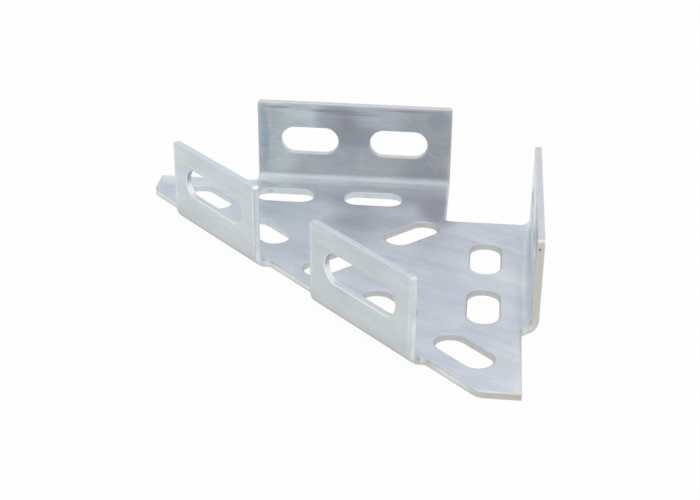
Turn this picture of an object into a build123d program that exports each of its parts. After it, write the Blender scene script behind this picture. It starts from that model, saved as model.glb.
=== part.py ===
from build123d import *
from math import sqrt
import os

# Slotted corner bracket, stamped and folded from one sheet of steel.
# The base plate is a right triangle with its square corner notched out and its two sharp
# tips cropped. A tall flange is folded up from each of the two square legs, and two tabs
# are folded up from the long edge between the tips. Bolt slots are punched through every
# face. The bracket is the same on both sides of the line that halves the square corner.
# Millimetres. The plate's underside is Z = 0, the flanges stand on its +X and +Y sides,
# and the origin is under the middle of the square that the whole bracket fits in.

# Sheet and folds
sheet = 3.0            # thickness of the steel
inner_bend = 3.6       # radius on the inside of every fold
root_round = 2.4       # hollow corner of the blank where a folded wall leaves an edge
edge_roll = 1.0        # soft edge of the outline on the side where the punch goes in
slot_chamfer = 0.6     # broken edge of the slots on the same side

# Outline of the base plate
leg = 171.3            # along each fold line, from the square corner to the tip
tip_crop = 16.0        # straight end left at each tip
tip_round = 7.0        # round between a tip's end and the long edge
notch = 33.6           # side of the square notch in the corner
notch_round = 2.0      # hollow corner inside the notch

# Flanges on the two square legs, each starting flush with the notch
flange_length = 91.2
flange_height = 41.4

# Tabs on the long edge
tab_gap = 37.8         # clear space between the two tabs
tab_length = 61.2
tab_height = 38.8

# Slots, all with full round ends
slot_length = 27.8
slot_width = 13.8
tab_slot_length = 43.0

# Slots in the folded walls, spread evenly about the middle of each wall
flange_slot_pitch = 42.0
flange_slot_height = 22.8
tab_slot_height = 23.2

# Slots in the base plate
leg_slot_inset = 15.2        # from the flange's fold line
leg_slot_setback = 62.1      # from the tip to the middle of the slot next to it
leg_slot_pitch = 41.0
edge_slot_inset = 15.3       # from the long edge
edge_slot_setback = 23.4     # from the long edge's end to the middle of the outer slot
edge_slot_pitch = 44.3       # from the outer slot to the inner slot on the same side
middle_slot_inset = 19.4     # from the long edge to the middle of the slot next to it
middle_slot_setback = 20.4   # from the notch's corner to the middle of the slot next to it

# Worked out from the sizes above
outer_bend = inner_bend + sheet
half_span = (leg + outer_bend) / 2
fold = half_span - outer_bend                  # X and Y of the flanges' fold lines
tip = fold - leg                               # X and Y of the two tips
edge_middle = fold - (leg + tip_crop) / 2      # X and Y of the long edge's middle
half_edge = (leg - tip_crop) / sqrt(2)         # half the length of the long edge
notch_corner = (leg + tip_crop - 2 * notch) / sqrt(2)   # its distance from the long edge
flange_middle = fold - notch - flange_length / 2
tab_middle = (tab_gap + tab_length) / 2


def slot_row(count, pitch, length):
    """Slots in a row along local X, centred on the origin."""
    with BuildSketch() as row:
        with GridLocations(pitch, 0, count, 1):
            SlotOverall(length, slot_width)
    return row.sketch


def folded_wall(length, height, slots, slot_height):
    """One wall folded up from the plate. Its fold line is the Y axis, the plate lies on
    the -X side, and the wall stands out to +X by the outer radius of the bend."""
    with BuildPart() as wall:
        with BuildSketch(Plane.XZ):
            with BuildLine():
                outside = CenterArc((0, outer_bend), outer_bend, -90, 90)
                inside = CenterArc((0, outer_bend), inner_bend, -90, 90)
                Polyline(outside @ 1, (outer_bend, height), (inner_bend, height), inside @ 1)
                Line(inside @ 0, outside @ 0)
            make_face()
        extrude(amount=length / 2 + root_round, both=True)
        # Seen from above, the wall flares into the plate's edge at both of its roots
        with BuildSketch() as footprint:
            Rectangle(4 * outer_bend, length)
            Rectangle(outer_bend, length + 4 * root_round, align=(Align.MAX, Align.CENTER))
            roots = footprint.vertices().filter_by_position(Axis.X, -root_round, root_round)
            fillet(roots.sort_by(Axis.Y)[1:-1], root_round)
        extrude(amount=height, mode=Mode.INTERSECT)
        with BuildSketch(Plane.YZ.offset(outer_bend)):
            with Locations((0, slot_height)):
                add(slots)
        extrude(amount=-sheet, mode=Mode.SUBTRACT)
        # Soft edges on the wall's inner side, round its slots and along its top
        inner_face = wall.faces().filter_by(Axis.X).sort_by(Axis.X)[1]
        chamfer(ShapeList(inner_face.inner_wires()).edges(), slot_chamfer)
        fillet(inner_face.outer_wire().edges().sort_by(Axis.Z)[-1], edge_roll)
    return wall.part


flange = folded_wall(
    flange_length, flange_height, slot_row(2, flange_slot_pitch, slot_length), flange_slot_height
)
tab = folded_wall(tab_length, tab_height, slot_row(1, 0, tab_slot_length), tab_slot_height)

# Local X runs along the long edge to the +X tip, and local Y points at the square corner
long_edge = Location((edge_middle, edge_middle, 0), (0, 0, -45))

with BuildPart() as bracket:
    # Base plate, with its square corner still on
    with BuildSketch() as plate:
        with BuildLine():
            Polyline(
                (fold, fold),
                (fold, tip),
                (fold - tip_crop, tip),
                (tip, fold - tip_crop),
                (tip, fold),
                close=True,
            )
        make_face()
        tip_corners = plate.vertices().group_by(lambda corner: corner.X + corner.Y)[0]
        fillet(tip_corners, tip_round)
    extrude(amount=sheet)

    # Slots in the base plate: two beside each flange, four along the long edge and two on
    # the line that halves the square corner
    with BuildSketch():
        for step in range(2):
            along = tip + leg_slot_setback + step * leg_slot_pitch
            across = fold - leg_slot_inset
            with Locations(Location((along, across)), Location((across, along, 0), (0, 0, 90))):
                SlotOverall(slot_length, slot_width)
        with Locations(long_edge):
            for step in range(2):
                along = half_edge - edge_slot_setback - step * edge_slot_pitch
                with Locations((-along, edge_slot_inset), (along, edge_slot_inset)):
                    SlotOverall(slot_length, slot_width)
            with Locations((0, middle_slot_inset), (0, notch_corner - middle_slot_setback)):
                SlotOverall(slot_length, slot_width, rotation=90)
    extrude(amount=sheet, mode=Mode.SUBTRACT)
    chamfer(ShapeList(bracket.faces().sort_by(Axis.Z)[-1].inner_wires()).edges(), slot_chamfer)

    # Flanges on the square legs and tabs on the long edge
    with Locations((fold, flange_middle), Location((flange_middle, fold, 0), (0, 0, 90))):
        add(flange)
    with Locations(long_edge):
        with Locations(Location((-tab_middle, 0), -90), Location((tab_middle, 0), -90)):
            add(tab)

    # Notch in the square corner, which also squares off the flanges' ends
    with BuildSketch() as corner_notch:
        with Locations((fold, fold)):
            Rectangle(2 * notch, 2 * notch)
        inner_corner = corner_notch.vertices().sort_by(lambda corner: corner.X + corner.Y)[0]
        fillet(inner_corner, notch_round)
    extrude(amount=flange_height, mode=Mode.SUBTRACT)

    # Soft edge round the top of the plate, running on up the ends of the walls
    top_face = bracket.faces().filter_by(Axis.Z).group_by(Axis.Z)[1][0]
    curved_faces = bracket.faces().filter_by(GeomType.CYLINDER)
    bends = curved_faces.filter_by_position(Axis.Z, sheet, flange_height)
    fillet(top_face.outer_wire().edges() - bends.edges(), edge_roll)

bracket.part.label = "bracket"
os.makedirs("parts", exist_ok=True)
export_step(bracket.part, "parts/bracket.step")
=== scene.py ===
from math import cos, pi, radians, sin, sqrt, tan

import bmesh
import bpy
from mathutils import Matrix, Vector


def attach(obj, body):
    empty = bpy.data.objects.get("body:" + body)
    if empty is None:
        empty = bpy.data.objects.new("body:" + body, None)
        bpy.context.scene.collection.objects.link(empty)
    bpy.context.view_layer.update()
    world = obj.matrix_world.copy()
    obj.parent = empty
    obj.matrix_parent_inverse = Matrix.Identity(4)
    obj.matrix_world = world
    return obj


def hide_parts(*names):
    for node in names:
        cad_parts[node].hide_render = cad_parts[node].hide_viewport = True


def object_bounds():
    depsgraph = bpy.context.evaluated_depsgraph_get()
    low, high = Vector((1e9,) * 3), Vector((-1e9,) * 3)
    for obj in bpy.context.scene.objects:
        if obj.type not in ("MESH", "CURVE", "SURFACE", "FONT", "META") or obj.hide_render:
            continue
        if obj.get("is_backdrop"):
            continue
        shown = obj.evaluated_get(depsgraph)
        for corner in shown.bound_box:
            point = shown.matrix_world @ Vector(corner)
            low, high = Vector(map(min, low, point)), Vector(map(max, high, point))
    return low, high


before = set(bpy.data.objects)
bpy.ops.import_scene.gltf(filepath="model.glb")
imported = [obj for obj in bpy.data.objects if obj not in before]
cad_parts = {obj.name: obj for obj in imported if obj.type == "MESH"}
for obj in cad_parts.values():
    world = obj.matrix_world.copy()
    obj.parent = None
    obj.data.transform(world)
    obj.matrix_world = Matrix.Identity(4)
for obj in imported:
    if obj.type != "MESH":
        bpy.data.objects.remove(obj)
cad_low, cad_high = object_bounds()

# ---- The blank --------------------------------------------------------------------------
# The bracket starts as a flat blank, sheared from steel strip: a right triangle with its
# square corner notched out, two wide ears on the square legs and two on the long edge. The
# die drags the edge down on the side where the punch goes in, so that rim is rolled.

# Millimetres, laid out flat, with the plate's underside at Z = 0
SHEET = 3.0            # thickness of the steel
INNER_BEND = 3.6       # radius on the inside of every fold
ROOT_ROUND = 2.4       # hollow corner where an ear leaves an edge
LEG = 171.3            # along each flange's fold line, from the square corner to the tip
TIP_CROP = 16.0        # straight end left at each tip
TIP_ROUND = 7.0        # round between a tip's end and the long edge
NOTCH = 33.6           # side of the square notch
NOTCH_ROUND = 2.0      # hollow corner inside the notch
FLANGE_LENGTH = 91.2
FLANGE_HEIGHT = 41.4
TAB_GAP = 37.8         # clear space between the two tabs
TAB_LENGTH = 61.2
TAB_HEIGHT = 38.8
EAR_ROUND = 1.5        # corners at the top of every ear
ROUND_STEPS = 10
ROLLED_RIM = ((0, 0.45), (0.08, 0.28), (0.3, 0.14), (0.7, 0.05), (1.3, 0))   # inset, depth
UNDER_RIM = ((0.18, 0), (0.05, 0.05), (0, 0.18))                               # inset, height

OUTER_BEND = INNER_BEND + SHEET
MID_BEND = INNER_BEND + SHEET / 2
BEND_RUN = MID_BEND * pi / 2           # flat length that a fold takes up
FOLD = cad_high.x * 1000 - OUTER_BEND  # X and Y of the flanges' fold lines
TIP = FOLD - LEG                       # X and Y of the two tips
EDGE_MIDDLE = FOLD - (LEG + TIP_CROP) / 2   # X and Y of the long edge's middle
FLANGE_RUN = BEND_RUN + FLANGE_HEIGHT - OUTER_BEND
TAB_RUN = BEND_RUN + TAB_HEIGHT - OUTER_BEND
HALF = sqrt(0.5)                       # sine and cosine of the long edge's 45 degrees


def by_long_edge(along, inward):
    """A point given along the long edge, towards the +X tip, and inward from it."""
    return (EDGE_MIDDLE + HALF * (along + inward), EDGE_MIDDLE + HALF * (inward - along))


def rounded(corners, inset):
    """The outline through corners (x, y, radius), moved in by the same distance all round,
    with every rounded corner drawn out in the same number of points."""
    points = []
    for i, (x, y, radius) in enumerate(corners):
        here = Vector((x, y))
        back = (Vector(corners[i - 1][:2]) - here).normalized()
        ahead = (Vector(corners[(i + 1) % len(corners)][:2]) - here).normalized()
        left_of_back, left_of_ahead = Vector((back.y, -back.x)), Vector((-ahead.y, ahead.x))
        here += (left_of_back + left_of_ahead) * inset / (1 + left_of_back.dot(left_of_ahead))
        if not radius:
            points.append(here)
            continue
        half_angle = back.angle(ahead) / 2
        hollow = back.cross(ahead) > 0
        radius = max(radius + (inset if hollow else -inset), 0)
        away = (back + ahead).normalized() / sin(half_angle)
        first, last = back / tan(half_angle) - away, ahead / tan(half_angle) - away
        turn = first.angle_signed(last) / ROUND_STEPS
        for step in range(ROUND_STEPS + 1):
            points.append(here + (away + Matrix.Rotation(-turn * step, 2) @ first) * radius)
    return points


def added(name, data):
    """A new object in the scene, at the origin."""
    thing = bpy.data.objects.new(name, data)
    bpy.context.scene.collection.objects.link(thing)
    return thing


notch_edge = FOLD - NOTCH
flange_end = notch_edge - FLANGE_LENGTH
inner_end, outer_end = TAB_GAP / 2, TAB_GAP / 2 + TAB_LENGTH
corners = [
    (notch_edge, notch_edge, NOTCH_ROUND),
    (notch_edge, FOLD + FLANGE_RUN, EAR_ROUND),
    (flange_end, FOLD + FLANGE_RUN, EAR_ROUND),
    (flange_end, FOLD, ROOT_ROUND),
    (TIP, FOLD, 0),
    (TIP, FOLD - TIP_CROP, TIP_ROUND),
]
for start, end in ((-outer_end, -inner_end), (inner_end, outer_end)):
    corners += [
        (*by_long_edge(start, 0), ROOT_ROUND),
        (*by_long_edge(start, -TAB_RUN), EAR_ROUND),
        (*by_long_edge(end, -TAB_RUN), EAR_ROUND),
        (*by_long_edge(end, 0), ROOT_ROUND),
    ]
corners += [(y, x, radius) for x, y, radius in reversed(corners[1:6])]

rim = [*UNDER_RIM, *((inset, SHEET - depth) for inset, depth in ROLLED_RIM)]
shape = bmesh.new()
rings = [[shape.verts.new((p.x, p.y, z)) for p in rounded(corners, inset)] for inset, z in rim]
for low, high in zip(rings, rings[1:]):
    for i in range(len(low)):
        shape.faces.new((low[i - 1], low[i], high[i], high[i - 1]))
shape.faces.new(list(reversed(rings[0])))
shape.faces.new(rings[-1])
bmesh.ops.remove_doubles(shape, verts=shape.verts, dist=1e-4)
blank_mesh = bpy.data.meshes.new("blank")
shape.to_mesh(blank_mesh)
shape.free()
blank = added("blank", blank_mesh)

# ---- The slots --------------------------------------------------------------------------
# Sixteen bolt slots are punched through the flat blank before it is folded: ten in the
# plate and two in each flange, all alike, and a longer one in each tab. The round-ended
# punch goes in from the top, where it rolls the rim over as the shears do.

SLOT_WIDTH = 13.0
SLOT_LENGTH = 27.1
TAB_SLOT_LENGTH = 42.6
SLOT_RIM_WIDTH, SLOT_RIM_DEPTH, SLOT_RIM_STEPS = 0.9, 0.35, 4
SLOT_UNDER_RIM = 0.35        # break on the underside
LEG_SLOT_INSET = 15.2        # from the flange's fold line
LEG_SLOT_SETBACK = 62.1      # from the tip to the middle of the slot next to it
LEG_SLOT_PITCH = 41.0
EDGE_SLOT_INSET = 15.3       # from the long edge
EDGE_SLOT_SETBACK = 23.4     # from the long edge's end to the middle of the outer slot
EDGE_SLOT_PITCH = 44.3
MIDDLE_SLOT_INSET = 19.4     # from the long edge
MIDDLE_SLOT_SETBACK = 20.4   # from the notch's corner
FLANGE_SLOT_PITCH = 42.0
FLANGE_SLOT_HEIGHT = 22.8
TAB_SLOT_HEIGHT = 23.2
END_STEPS = 20               # faces in a quarter of the punch


class Socket:
    """One output of a node. Maths on it adds Math nodes, and node() adds any other node."""

    def __init__(self, tree, output=None):
        self.tree, self.output = tree, output

    def node(self, kind, settings=None, inputs=None):
        """A new node's first output. Its settings are made first and then its inputs, by
        name or number, which take values or other outputs."""
        node = self.tree.nodes.new(kind)
        for name, value in (settings or {}).items():
            setattr(node, name, value)
        for name, value in (inputs or {}).items():
            if isinstance(name, int):
                place = node.inputs[name]
            else:
                place = next(i for i in node.inputs if i.name == name and not i.is_unavailable)
            if isinstance(value, Socket):
                self.tree.links.new(value.output, place)
            else:
                place.default_value = value
        used = [o for o in node.outputs if not o.is_unavailable]
        return Socket(self.tree, used[0] if used else None)

    def __getitem__(self, name):
        """Another output of the same node."""
        return Socket(self.tree, self.output.node.outputs[name])

    def maths(self, operation, *values):
        return self.node("ShaderNodeMath", {"operation": operation}, dict(enumerate(values)))

    def __add__(self, other):
        return self.maths("ADD", self, other)

    def __radd__(self, other):
        return self.maths("ADD", other, self)

    def __sub__(self, other):
        return self.maths("SUBTRACT", self, other)

    def __rsub__(self, other):
        return self.maths("SUBTRACT", other, self)

    def __mul__(self, other):
        return self.maths("MULTIPLY", self, other)

    def __rmul__(self, other):
        return self.maths("MULTIPLY", other, self)

    def __truediv__(self, other):
        return self.maths("DIVIDE", self, other)

    def __rtruediv__(self, other):
        return self.maths("DIVIDE", other, self)

    def __lt__(self, other):
        return self.maths("LESS_THAN", self, other)

    def __gt__(self, other):
        return self.maths("GREATER_THAN", self, other)


def slot_punch_tree():
    """The node tree that punches a row of like slots. It works on their middles, each with
    its turn, and gives back the blank with the slots cut out of it."""
    group = bpy.data.node_groups.new("slot punch", "GeometryNodeTree")
    for name, kind in (
        ("Geometry", "Geometry"), ("Blank", "Object"), ("Slot Length", "Float"),
        ("Slot Width", "Float"), ("Sheet", "Float"), ("Rim Width", "Float"),
        ("Rim Depth", "Float"), ("Rim Steps", "Int"), ("Under Rim", "Float"),
        ("Finish", "Material"),
    ):
        group.interface.new_socket(name, in_out="INPUT", socket_type="NodeSocket" + kind)
    group.interface.new_socket("Geometry", in_out="OUTPUT", socket_type="NodeSocketGeometry")
    tree = Socket(group)
    given = tree.node("NodeGroupInput")

    # The punch starts as a round bar in rings. Ring 0 is under the sheet, ring 1 at its
    # underside, ring 2 over the lower break, and from ring 3 up the rolled rim opens out.
    rings = given["Rim Steps"] + 4.0
    bar = tree.node("GeometryNodeMeshCylinder", {"fill_type": "NGON"}, {
        "Vertices": 4 * END_STEPS, "Side Segments": rings, "Radius": 1.0, "Depth": 2.0,
    })
    place = tree.node(
        "ShaderNodeSeparateXYZ", inputs={"Vector": tree.node("GeometryNodeInputPosition")}
    )
    ring = tree.maths("ROUND", (place["Z"] + 1.0) * 0.5 * rings)
    step = tree.maths("MINIMUM", tree.maths("MAXIMUM", ring - 3.0, 0.0), given["Rim Steps"])
    part = step / given["Rim Steps"]
    flare = given["Rim Width"] * part + given["Under Rim"] * (ring < 1.5)
    roll = given["Sheet"] - given["Rim Depth"] * (1.0 - part) * (1.0 - part)
    height = (ring > 2.5) * (roll - given["Under Rim"]) + (ring > 1.5) * given["Under Rim"]
    height = height - (ring < 0.5) + (ring > rings - 0.5)
    # Its halves are drawn apart to the slot's length, and every ring takes its own width
    radius = given["Slot Width"] * 0.5 + flare
    apart = (given["Slot Length"] - given["Slot Width"]) * 0.5
    side = (place["X"] > 1e-4) - (place["X"] < -1e-4)
    drawn = tree.node("ShaderNodeCombineXYZ", inputs={
        "X": place["X"] * radius + side * apart, "Y": place["Y"] * radius, "Z": height,
    })
    punch = tree.node("GeometryNodeSetPosition", inputs={"Geometry": bar, "Position": drawn})
    marked = {"data_type": "FLOAT", "domain": "FACE"}
    punch = tree.node("GeometryNodeStoreNamedAttribute", marked, {
        "Geometry": punch, "Name": "punched", "Value": 1.0,
    })
    turned = tree.node("ShaderNodeCombineXYZ", inputs={
        "Z": tree.node("GeometryNodeInputNamedAttribute", {"data_type": "FLOAT"}, {"Name": "turn"}),
    })
    punches = tree.node("GeometryNodeInstanceOnPoints", inputs={
        "Points": given["Geometry"], "Instance": punch, "Rotation": turned,
    })
    cut = tree.node("GeometryNodeMeshBoolean", {"operation": "DIFFERENCE", "solver": "EXACT"}, {
        0: tree.node("GeometryNodeObjectInfo", inputs={"Object": given["Blank"]})["Geometry"],
        1: tree.node("GeometryNodeRealizeInstances", inputs={"Geometry": punches}),
    })
    whole = tree.node("GeometryNodeRealizeInstances", inputs={"Geometry": cut})
    done = tree.node("GeometryNodeSetMaterial", inputs={
        "Geometry": whole, "Material": given["Finish"],
    })
    tree.node("NodeGroupOutput", inputs={"Geometry": done})
    return group


slot_punch = slot_punch_tree()
zinc = bpy.data.materials.new("zinc plating")


def punched(uncut, slots, length):
    """The blank with a slot of that length cut through it at each (x, y, turn)."""
    mesh = bpy.data.meshes.new("slot middles")
    mesh.from_pydata([(x, y, 0) for x, y, _ in slots], [], [])
    mesh.attributes.new("turn", "FLOAT", "POINT").data.foreach_set("value", [t for _, _, t in slots])
    middles = added("slot middles", mesh)
    modifier = middles.modifiers.new("slots", "NODES")
    modifier.node_group = slot_punch
    given = {
        "Blank": uncut, "Slot Length": length, "Slot Width": SLOT_WIDTH, "Sheet": SHEET,
        "Rim Width": SLOT_RIM_WIDTH, "Rim Depth": SLOT_RIM_DEPTH, "Rim Steps": SLOT_RIM_STEPS,
        "Under Rim": SLOT_UNDER_RIM, "Finish": zinc,
    }
    for item in slot_punch.interface.items_tree:
        if item.in_out == "INPUT" and item.name in given:
            modifier[item.identifier] = given[item.name]
    depsgraph = bpy.context.evaluated_depsgraph_get()
    result = bpy.data.meshes.new_from_object(middles.evaluated_get(depsgraph))
    bpy.data.objects.remove(middles)
    bpy.data.objects.remove(uncut)
    return added("blank", result)


flange_middle = FOLD - NOTCH - FLANGE_LENGTH / 2
flange_slot_run = FOLD + BEND_RUN + FLANGE_SLOT_HEIGHT - OUTER_BEND
slots = []
for step in (0, 1):
    along = TIP + LEG_SLOT_SETBACK + step * LEG_SLOT_PITCH
    beside = flange_middle + (step - 0.5) * FLANGE_SLOT_PITCH
    for x, y in ((along, FOLD - LEG_SLOT_INSET), (beside, flange_slot_run)):
        slots += [(x, y, 0), (y, x, pi / 2)]
    along = (LEG - TIP_CROP) * HALF - EDGE_SLOT_SETBACK - step * EDGE_SLOT_PITCH
    for side in (-1, 1):
        slots.append((*by_long_edge(side * along, EDGE_SLOT_INSET), -pi / 4))
notch_corner = (LEG + TIP_CROP - 2 * NOTCH) * HALF
for inset in (MIDDLE_SLOT_INSET, notch_corner - MIDDLE_SLOT_SETBACK):
    slots.append((*by_long_edge(0, inset), pi / 4))
tab_middle = (TAB_GAP + TAB_LENGTH) / 2
tab_slot_run = BEND_RUN + TAB_SLOT_HEIGHT - OUTER_BEND
tab_slots = [(*by_long_edge(side * tab_middle, -tab_slot_run), -pi / 4) for side in (-1, 1)]
blank = punched(blank, slots, SLOT_LENGTH)
blank = punched(blank, tab_slots, TAB_SLOT_LENGTH)

# ---- The folds --------------------------------------------------------------------------
# A press brake folds the four ears up square over a rounded nose, two flanges and two tabs,
# and the blank is a bracket. The steel stretches round the outside of each fold and is
# squeezed on the inside, and its middle keeps its length.

BEND_STEPS = 12
SHARP_FROM = radians(35)
fold_lines = (
    (Vector((FOLD, 0)), Vector((1, 0))),
    (Vector((0, FOLD)), Vector((0, 1))),
    (Vector((EDGE_MIDDLE, EDGE_MIDDLE)), Vector((-HALF, -HALF))),
)
shape = bmesh.new()
shape.from_mesh(blank.data)
for line, out in fold_lines:
    for step in range(BEND_STEPS + 1):
        at = line + out * (BEND_RUN * step / BEND_STEPS + 0.001)
        bmesh.ops.bisect_plane(
            shape, geom=shape.verts[:] + shape.edges[:] + shape.faces[:], dist=1e-5,
            plane_co=(at.x, at.y, 0), plane_no=(out.x, out.y, 0),
        )
shape.to_mesh(blank.data)
shape.free()


def folded(point, normal):
    """Where a point of the flat blank and its normal go when the ears are folded up."""
    for line, out in fold_lines:
        past = (point.xy - line).dot(out)
        if past > 0:
            turn = min(past, BEND_RUN) / MID_BEND
            radius = OUTER_BEND - point.z
            run = radius * sin(turn)
            height = OUTER_BEND - radius * cos(turn) + max(past - BEND_RUN, 0)
            flat = point.xy + out * (run - past)
            across = normal.xy.dot(out)
            lean = across * cos(turn) - normal.z * sin(turn) - across
            lift = across * sin(turn) + normal.z * cos(turn)
            return (
                Vector((flat.x, flat.y, height)),
                Vector((normal.x + out.x * lean, normal.y + out.y * lean, lift)),
            )
    return point.copy(), normal.copy()


blank.data.shade_smooth()
blank.data.set_sharp_from_angle(angle=SHARP_FROM)
blank.modifiers.new("face normals", "WEIGHTED_NORMAL").keep_sharp = True
depsgraph = bpy.context.evaluated_depsgraph_get()
sheet = bpy.data.meshes.new_from_object(blank.evaluated_get(depsgraph))
bpy.data.objects.remove(blank)

# The flat faces keep straight normals, and then every point and normal is folded
normals = [corner.vector.copy() for corner in sheet.corner_normals]
for face in sheet.polygons:
    if abs(face.normal.z) > 0.9999:
        for corner in face.loop_indices:
            normals[corner] = Vector((0, 0, 1 if face.normal.z > 0 else -1))
flat_points = [vertex.co.copy() for vertex in sheet.vertices]
normals = [
    folded(flat_points[loop.vertex_index], normal)[1] for loop, normal in zip(sheet.loops, normals)
]
laid_flat = sheet.attributes.new("laid flat", "FLOAT_VECTOR", "POINT")
for vertex, point in zip(sheet.vertices, flat_points):
    laid_flat.data[vertex.index].vector = point
    vertex.co = folded(point, Vector((0, 0, 1)))[0] * 0.001
sheet.normals_split_custom_set(normals)
sheet.name = "bracket sheet"
bracket = added("folded_bracket", sheet)
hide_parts("bracket")
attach(bracket, "root")

# ---- The plating ------------------------------------------------------------------------
# Bright zinc, a few microns thick, with a thin clear passivation that gives it a blue cast.
# Straight streaks left by rolling the strip still show through it and run on through the
# folds, and the sheared edges, where the steel tore, are duller and warmer.

LAVENDER = (0.520, 0.560, 0.635, 1)      # faces on the inside of the folds
CLEAR = (0.540, 0.560, 0.580, 1)
CLOUDED = (0.600, 0.640, 0.680, 1)
PALE = (0.690, 0.720, 0.760, 1)
GREENISH = (0.605, 0.675, 0.672, 1)      # faces on the outside of the folds
YELLOWISH = (0.665, 0.690, 0.652, 1)
BLUISH = (0.620, 0.665, 0.715, 1)
# painted shade on the tabs' outsides, down towards their fold and under it
TAB_PAINTED_SHADE = (0.560, 0.605, 0.650, 1)
FOLD_PAINTED_SHADE_WARM = (0.590, 0.590, 0.575, 1)
FOLD_PAINTED_SHADE_DARK = (0.370, 0.360, 0.355, 1)
VIOLET = (0.370, 0.360, 0.425, 1)        # stains
TEAL = (0.780, 0.890, 0.900, 1)
SLATE = (0.440, 0.510, 0.590, 1)
SMOKE = (0.370, 0.380, 0.390, 1)
ASH = (0.420, 0.450, 0.480, 1)
DUSK = (0.480, 0.510, 0.580, 1)
INK = (0.400, 0.440, 0.520, 1)
SOOT = (0.370, 0.390, 0.440, 1)
SAGE = (0.480, 0.520, 0.520, 1)
STORM = (0.420, 0.460, 0.510, 1)
ROSE = (0.460, 0.400, 0.430, 1)
# painted highlights, painted shade and painted light on the flanges' folds, ends and faces, and BEIGE
FOLD_PAINTED_HIGHLIGHT = (0.800, 0.820, 0.830, 1)    # folds and ends of the flanges
FOLD_SHADE = (0.290, 0.305, 0.325, 1)
FOLD_TOP_PAINTED_LIGHT = (0.620, 0.640, 0.650, 1)
FLANGE_PAINTED_LIGHT = (1.000, 1.000, 0.970, 1)
X_FOLD_PAINTED_HIGHLIGHT = (0.860, 0.950, 0.950, 1)
SEA_GREEN_PAINTED_LIGHT = (0.690, 0.910, 0.880, 1)
EDGE_PAINTED_HIGHLIGHT = (0.710, 0.735, 0.765, 1)
BEIGE = (0.620, 0.600, 0.545, 1)
EAR_RIM = (0.590, 0.600, 0.600, 1)       # rolled rims
ROOT_RIM = (0.530, 0.550, 0.560, 1)
# a painted highlight on the rim of the +X flange's front end
FRONT_RIM_PAINTED_HIGHLIGHT = (0.950, 0.930, 0.860, 1)
SLOT_RIM = (0.440, 0.450, 0.450, 1)
BACK_SLOT_RIM = (0.500, 0.545, 0.560, 1)
GLINT = (0.880, 0.920, 0.970, 1)
SHEARED = (0.750, 0.770, 0.745, 1)       # cut edges
TORN = (0.600, 0.600, 0.580, 1)
WORN = (0.570, 0.560, 0.520, 1)
RUSTY = (0.565, 0.530, 0.485, 1)
WALL = (0.580, 0.580, 0.565, 1)
PALE_WALL = (0.660, 0.715, 0.730, 1)
EAR_WALL = (0.600, 0.625, 0.655, 1)
# a painted highlight, near white, on the tabs' ends
TAB_END_PAINTED_HIGHLIGHT = (0.930, 1.000, 0.985, 1)
TAB_END_TOP = (0.730, 0.725, 0.680, 1)
FLANGE_TOP = (0.575, 0.600, 0.655, 1)
RUST = (0.200, 0.130, 0.110, 1)
SCRATCHED = (0.800, 0.820, 0.840, 1)


def empty_tree(owner):
    """The node tree of a material or a world, cleared to build in."""
    owner.use_nodes = True
    owner.node_tree.nodes.clear()
    return Socket(owner.node_tree)


plating = empty_tree(zinc)


def rise(value, low, high):
    """Goes smoothly from 0 to 1 as the value goes from low to high."""
    return plating.node("ShaderNodeMapRange", {"interpolation_type": "SMOOTHSTEP"}, {
        "Value": value, "From Min": low, "From Max": high,
    })


def band(value, middle, reach):
    """Is 1 at the middle and falls smoothly to 0 at that reach on both sides of it."""
    return 1.0 - rise(plating.maths("ABSOLUTE", value - middle), 0.0, reach)


def noise(first, second, third, detail=3.0, roughness=0.55):
    """Noise from 0 to 1, one turn of it in about one unit of each value given."""
    spot = plating.node("ShaderNodeCombineXYZ", inputs={"X": first, "Y": second, "Z": third})
    return plating.node("ShaderNodeTexNoise", inputs={
        "Vector": spot, "Scale": 1.0, "Detail": detail, "Roughness": roughness,
    })


def mix(amount, first, second):
    return plating.node("ShaderNodeMix", {"data_type": "RGBA"}, {
        "Factor": amount, "A": first, "B": second,
    })


def layered(colour, *layers):
    """The colour with layers over it, each an amount from 0 to 1 and its own colour."""
    for amount, over in layers:
        colour = mix(amount, colour, over)
    return colour


def scaled(colour, amount):
    return plating.node("ShaderNodeVectorMath", {"operation": "SCALE"}, {
        "Vector": colour, "Scale": amount,
    })


# Where the skin is, in millimetres on the flat blank
place = plating.node("ShaderNodeSeparateXYZ", inputs={
    "Vector": plating.node("ShaderNodeAttribute", {"attribute_name": "laid flat"})["Vector"],
})
x, y, z = place["X"], place["Y"], place["Z"]
along_edge = (x - y) * HALF
past_long_edge = 2 * EDGE_MIDDLE * HALF - (x + y) * HALF
past_legs = plating.maths("MAXIMUM", x - FOLD, y - FOLD)
past_fold = plating.maths("MAXIMUM", past_long_edge, past_legs)
off_tab_middle = along_edge - plating.maths("SIGN", along_edge) * tab_middle
off_tab_end = TAB_LENGTH / 2 - plating.maths("ABSOLUTE", off_tab_middle)

# Which part of it that is: a face, an ear, a cut edge between two rims, or the wall of a slot
CUT_LOW, CUT_HIGH = 0.30, SHEET - 0.42
on_top = rise(z, 1.0, 2.0)
on_cut = rise(z, CUT_LOW, CUT_LOW + 0.05) * (1.0 - rise(z, CUT_HIGH - 0.03, CUT_HIGH))
on_rim = (z > CUT_HIGH) * (1.0 - rise(z, SHEET - 0.12, SHEET - 0.01))
on_under_rim = (z < CUT_LOW) * rise(z, 0.01, 0.05)
in_slot = plating.node("ShaderNodeAttribute", {"attribute_name": "punched"})["Fac"]
on_ear = rise(past_fold, 1.0, BEND_RUN)
on_tab = rise(past_long_edge, 1.0, BEND_RUN)
on_tab_top = rise(past_long_edge, TAB_RUN - 0.4, TAB_RUN - 0.2)
on_flange_top = rise(past_legs, FLANGE_RUN - 0.4, FLANGE_RUN - 0.2)
on_front = (x > FOLD + BEND_RUN) * (y < flange_end + 2.0)
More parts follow.
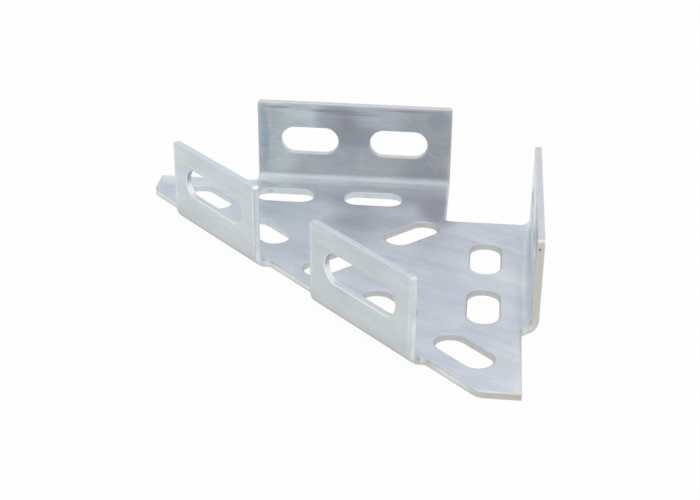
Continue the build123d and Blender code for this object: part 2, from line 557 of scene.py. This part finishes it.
at_back = rise(y - x, 15.0, 45.0)


def streaks(on_plate, on_ears):
    """Streaks about 0: one noise over the plate, and another on the ears."""
    return on_plate + (on_ears - on_plate) * on_ear - 0.5


# Rolling streaks, over the plate in one slanting direction and on the ears along their folds,
# and then blotches that are as long as they are wide
STREAK_TURN = radians(-27)
along = x * cos(STREAK_TURN) + y * sin(STREAK_TURN)
across = y * cos(STREAK_TURN) - x * sin(STREAK_TURN)
fine = streaks(
    noise(across * 0.6, along * 0.022, z * 0.4), noise(past_fold * 0.6, x * 0.03, y * 0.03)
)
wide = streaks(
    noise(across * 0.16, along * 0.012, 7.3, 2.0), noise(past_fold * 0.12, x * 0.05, y * 0.05, 2.0)
)
cloud = noise(x * 0.035, y * 0.035, z * 0.3 + 2.0)
patch = noise(x * 0.13, y * 0.13, z * 0.13 + 5.0)
mottle = noise(x * 0.5, y * 0.5, z * 0.5, 3.0, 0.6) - 0.5
smear = noise(along_edge * 0.02, past_long_edge * 0.09, 2.0)
smudge = noise(along_edge * 0.05, past_long_edge * 0.28, 5.0)

# Outside the folds: smeared and bluer up the tabs, a painted highlight near the tabs' ends,
# painted shade down towards their fold and the -X tab's outer end, and darker painted shade under it
outside = layered(
    GREENISH,
    (rise(smear, 0.42, 0.66), BLUISH),
    (rise(smudge, 0.46, 0.66) * 0.45, YELLOWISH),
    (rise(past_long_edge, TAB_RUN - 6.0, TAB_RUN) * 0.6, BLUISH),
    (rise(2.2 - off_tab_end, 0.0, 1.2) * 0.2, TAB_END_PAINTED_HIGHLIGHT),
    (rise(18.0 - past_long_edge, 0.0, 10.0) * 0.5, TAB_PAINTED_SHADE),
    (rise(-80.0 - along_edge, 0.0, 20.0) * 0.4, TAB_PAINTED_SHADE),
    (band(past_long_edge, 6.5, 5.0) * 0.6, FOLD_PAINTED_SHADE_WARM),
    (band(past_long_edge, 4.2, 3.0) * 0.85, FOLD_PAINTED_SHADE_DARK),
)
# Inside the folds: cloudy, with a stronger blue cast on the plate than on the ears
inside = layered(
    LAVENDER,
    (on_ear, CLEAR),
    (rise(cloud, 0.42, 0.72) * 0.6, CLOUDED),
    (rise(patch, 0.50, 0.70) * 0.25, PALE),
)

# Stains where the passivation dried thicker: middle, reach in X and in Y, colour, strength
stains = (
    (14.0, 42.9, 19, 9, VIOLET, 0.50),
    (47.0, 57.0, 11, 15, VIOLET, 0.95),
    (22.0, 66.0, 26, 7, VIOLET, 0.45),
    (-36.0, 108.0, 14, 24, TEAL, 0.90),
    (-17.0, 118.0, 15, 8, TEAL, 0.90),
    # painted shade, a darker bluish band along the back flange's -X edge beside its rolled rim
    (-40.0, 110.0, 2.2, 16, SLATE, 0.60),
    (-5.0, 117.5, 10, 9, VIOLET, 0.70),
    (4.0, 113.5, 10, 9, SMOKE, 0.60),
    (17.0, 119.5, 13, 8, PALE, 0.95),
    (-4.0, 121.9, 13, 0.8, VIOLET, 1.10),
    (3.0, 120.6, 12, 0.6, VIOLET, 0.80),
    (30.0, 123.4, 14, 0.6, VIOLET, 0.80),
    (-33.0, 122.9, 7, 0.6, ASH, 0.90),
    (-82.0, 75.0, 14, 12, DUSK, 0.50),
    (2.5, 107.5, 9, 3, INK, 0.65),
    (36.0, 91.0, 15, 5, SOOT, 0.70),
    (36.0, 112.0, 14, 12, SAGE, 0.55),
    (43.0, 119.0, 5, 5, STORM, 0.90),
    (41.0, 73.5, 9, 4, ROSE, 0.60),
    # a teal tint over the +X flange's inside that is also painted light, lifting that whole face
    (FOLD + 24.0, 0.0, 19, 70, TEAL, 0.90),
)
wander = (cloud - 0.5) * 10.0
for stain_x, stain_y, reach_x, reach_y, colour, strength in stains:
    off_x = (x + wander - stain_x) / reach_x
    off_y = (y - stain_y) / reach_y
    amount = 1.0 - rise(off_x * off_x + off_y * off_y, 0.0, 1.6)
    inside = mix(amount * (0.75 + wide * 1.2) * strength, inside, colour)

# The two flanges' folds and ends: painted highlights and painted shade along the folds and edges,
# painted light on the plate beside them and on the +X flange's face, and a beige tone near the
# +X flange's front end
before_flange = rise(flange_end - y, 2.0, 6.0)
inside = layered(
    inside,
    # painted light on the plate below the back fold, and the fold's painted highlight and shade
    (band(y, FOLD - 6.0, 8.0) * 0.55, PALE),
    (band(y, FOLD - 0.3, 3.4) * 0.75, FOLD_PAINTED_HIGHLIGHT),
    (band(y, FOLD + 3.5, 2.4) * 0.55, FOLD_SHADE),
    (band(y, FOLD + BEND_RUN * 0.85, 2.0) * 0.45, FOLD_TOP_PAINTED_LIGHT),
    # painted light beside the +X fold and on its flange's face, and a painted highlight along the fold
    (band(x, FOLD - 5.0, 12.0) * rise(30.0 - y, 0.0, 40.0) * 0.45, PALE),
    (rise(x, FOLD + 9.0, FOLD + 20.0) * rise(y, -35.0, 10.0), FLANGE_PAINTED_LIGHT),
    (band(x, FOLD + BEND_RUN * 0.75, 5.0) * 0.60, X_FOLD_PAINTED_HIGHLIGHT),
    (band(x, FOLD + BEND_RUN - 0.8, 2.0) * 0.70, SEA_GREEN_PAINTED_LIGHT),
    (band(y, flange_end, 7.0) * rise(x, FOLD + 6.0, FOLD + 9.0) * 0.60, BEIGE),
    # painted highlights along the plate's +X edge and at the back flange's -X end of its fold
    (band(x, FOLD - 0.5, 5.0) * before_flange * 0.80, EDGE_PAINTED_HIGHLIGHT),
    (band(x, flange_end, 2.8) * rise(y, FOLD, FOLD + BEND_RUN) * 0.80, PALE),
)
faces = scaled(mix(on_top, outside, inside), 1.0 + fine * 0.22 + wide * 0.28 + mottle * 0.10)

# Rims: rolled over by the punch on top, and broken on the other side, with a painted
# highlight on the rim of the +X flange's front end
rim = mix(in_slot * (1.0 - on_ear), EAR_RIM, mix(at_back, SLOT_RIM, BACK_SLOT_RIM))
rim = mix(band(past_long_edge, 0.0, 2.0) * (1.0 - in_slot) * 0.8, rim, ROOT_RIM)
skin = mix(on_rim * 0.7, faces, mix(on_front, rim, FRONT_RIM_PAINTED_HIGHLIGHT))
skin = mix(on_under_rim * 0.9, skin, mix(on_tab * in_slot, PALE_WALL, GLINT))

# Slot walls: palest at the back, cool in the ears, and with a gleam low in the -X end of a tab's
below_middle = tab_slot_run - past_long_edge
in_slot_end = off_tab_middle < (SLOT_WIDTH - TAB_SLOT_LENGTH) / 2 + 0.8
gleam = band(below_middle, 2.6, 4.4) * in_slot_end * on_tab
wall = mix(rise(patch, 0.20, 0.50) * at_back, WALL, PALE_WALL)
wall = mix(gleam, mix(on_ear, wall, EAR_WALL), GLINT)

# Cut edges, with the marks of the shear running down through them: duller towards the +X tip,
# palest on the tabs' ends by a painted highlight, and warm on the flanges' ends
shear = noise(x * 1.6, y * 1.6, z * 0.15, 2.0) - 0.5
up_tab_end = rise(past_long_edge + patch * 10.0, 22.0, 32.0) * rise(along_edge, 0.0, 1.0)
tab_end = mix(up_tab_end * 0.7, TAB_END_PAINTED_HIGHLIGHT, TAB_END_TOP)
cut = layered(
    TORN,
    (rise(z + patch, 0.9, 2.0), SHEARED),
    (rise(along_edge, 98.0, 112.0), WORN),
    (rise(along_edge, 114.0, 121.0), RUSTY),
    (band(along_edge, tab_middle + TAB_LENGTH / 2 + 3.0, 9.0) * 0.7, WORN),
    (on_ear, mix(on_tab, BEIGE, tab_end)),
    (on_tab_top * 0.8, LAVENDER),
    (on_flange_top * 0.8, FLANGE_TOP),
    (in_slot, wall),
)
cut = scaled(cut, 1.0 + shear * (0.30 - on_ear * 0.15) + mottle * 0.20)

# One speck of rust on the front end of the +X flange, near its top
SPECK_PAST_FOLD, SPECK_UP = 39.2, 1.9
SPECK_REACH, SPECK_REACH_UP = 0.7, 0.5
off_x, off_z = (x - FOLD - SPECK_PAST_FOLD) / SPECK_REACH, (z - SPECK_UP) / SPECK_REACH_UP
rust = 1.0 - rise(off_x * off_x + off_z * off_z, 0.2, 1.2)
cut = mix(rust * (y < flange_end + 0.5) * 0.9, cut, RUST)
skin = mix(on_cut, skin, cut)

# Scratches from handling, on the back flange: one end, the other end, strength
scratches = (
    (37.2, 99.3, 43.0, 93.0, 0.50),
    (37.4, 104.1, 42.1, 99.7, 0.80),
    (42.5, 102.2, 43.4, 99.5, 0.60),
    (21.6, 121.8, 27.3, 115.7, 0.35),
    (24.7, 122.3, 30.7, 117.2, 0.35),
)
for start_x, start_y, end_x, end_y, strength in scratches:
    run = Vector((end_x - start_x, end_y - start_y))
    length, run = run.length, run.normalized()
    down = (x - start_x) * run.x + (y - start_y) * run.y
    aside = (y - start_y) * run.x - (x - start_x) * run.y + mottle * 0.4
    mark = (1.0 - rise(plating.maths("ABSOLUTE", aside), 0.05, 0.4)) * rise(down, 0.0, 2.0)
    mark = mark * (1.0 - rise(down, length - 2, length))
    skin = mix(mark * on_top * strength, skin, SCRATCHED)

grain = plating.node("ShaderNodeBump", inputs={
    "Strength": 0.5, "Distance": 0.00003, "Height": fine * 1.2 + mottle * 0.8,
})
plated = plating.node("ShaderNodeBsdfPrincipled", inputs={
    "Base Color": skin, "Metallic": 1.0, "Normal": grain,
    "Roughness": 0.42 + fine * 0.12 + mottle * 0.10 + on_cut * 0.08 + on_rim * 0.1,
})
plating.node("ShaderNodeOutputMaterial", inputs={"Surface": plated})

# ---- The studio -------------------------------------------------------------------------
# The bracket lies on a white table in a soft white light tent, under one wide lamp. The
# camera looks down on it from the front, with the two tabs nearest.

TABLE_REACH = 3
TABLE_GLOW = 0.96      # share of the table that shows plain white, and the rest takes shadow
TENT_LIGHT = 0.6       # what falls on the bracket, and the tent itself shows as 1
LAMP_PLACE = Vector((0.1, -0.1, 1.3))


def seen_in(tree):
    """Is 1 for what the camera sees, straight or in the metal, and 0 for other light."""
    path = tree.node("ShaderNodeLightPath")
    mirrored = path["Is Glossy Ray"] + path["Is Transmission Ray"]
    return tree.maths("MAXIMUM", path["Is Camera Ray"], mirrored)


table_corners = [(x * TABLE_REACH, y * TABLE_REACH, 0) for x, y in ((-1, -1), (1, -1), (1, 1), (-1, 1))]
table_mesh = bpy.data.meshes.new("table")
table_mesh.from_pydata(table_corners, [], [(0, 1, 2, 3)])
table = added("table", table_mesh)
table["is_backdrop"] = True
white = bpy.data.materials.new("white table")
table_mesh.materials.append(white)
tree = empty_tree(white)
matt = tree.node("ShaderNodeBsdfDiffuse", inputs={"Color": (0.9, 0.9, 0.9, 1)})
glow = tree.node("ShaderNodeEmission", inputs={"Color": (1, 1, 1, 1), "Strength": 1.0})
mixed = tree.node("ShaderNodeMixShader", inputs={0: seen_in(tree) * TABLE_GLOW, 1: matt, 2: glow})
tree.node("ShaderNodeOutputMaterial", inputs={"Surface": mixed})

tent = bpy.data.worlds.new("light tent")
bpy.context.scene.world = tent
tree = empty_tree(tent)
air = tree.node("ShaderNodeBackground", inputs={
    "Color": (1, 1, 1, 1), "Strength": TENT_LIGHT + seen_in(tree) * (1 - TENT_LIGHT),
})
tree.node("ShaderNodeOutputWorld", inputs={"Surface": air})

lamp = added("lamp over the table", bpy.data.lights.new("lamp over the table", "AREA"))
lamp.data.shape, lamp.data.size, lamp.data.energy = "SQUARE", 1.6, 5
lamp.location = LAMP_PLACE
lamp.rotation_euler = (-LAMP_PLACE).to_track_quat("-Z", "Y").to_euler()

camera = added("camera", bpy.data.cameras.new("camera"))
camera.data.lens = 71.107
camera.location = (0.063335, -0.510525, 0.279712)
camera.rotation_euler = [radians(angle) for angle in (62.362, -0.3486, 6.0935)]
bpy.context.scene.camera = camera
bpy.context.scene.view_settings.view_transform = "Standard"

low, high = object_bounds()
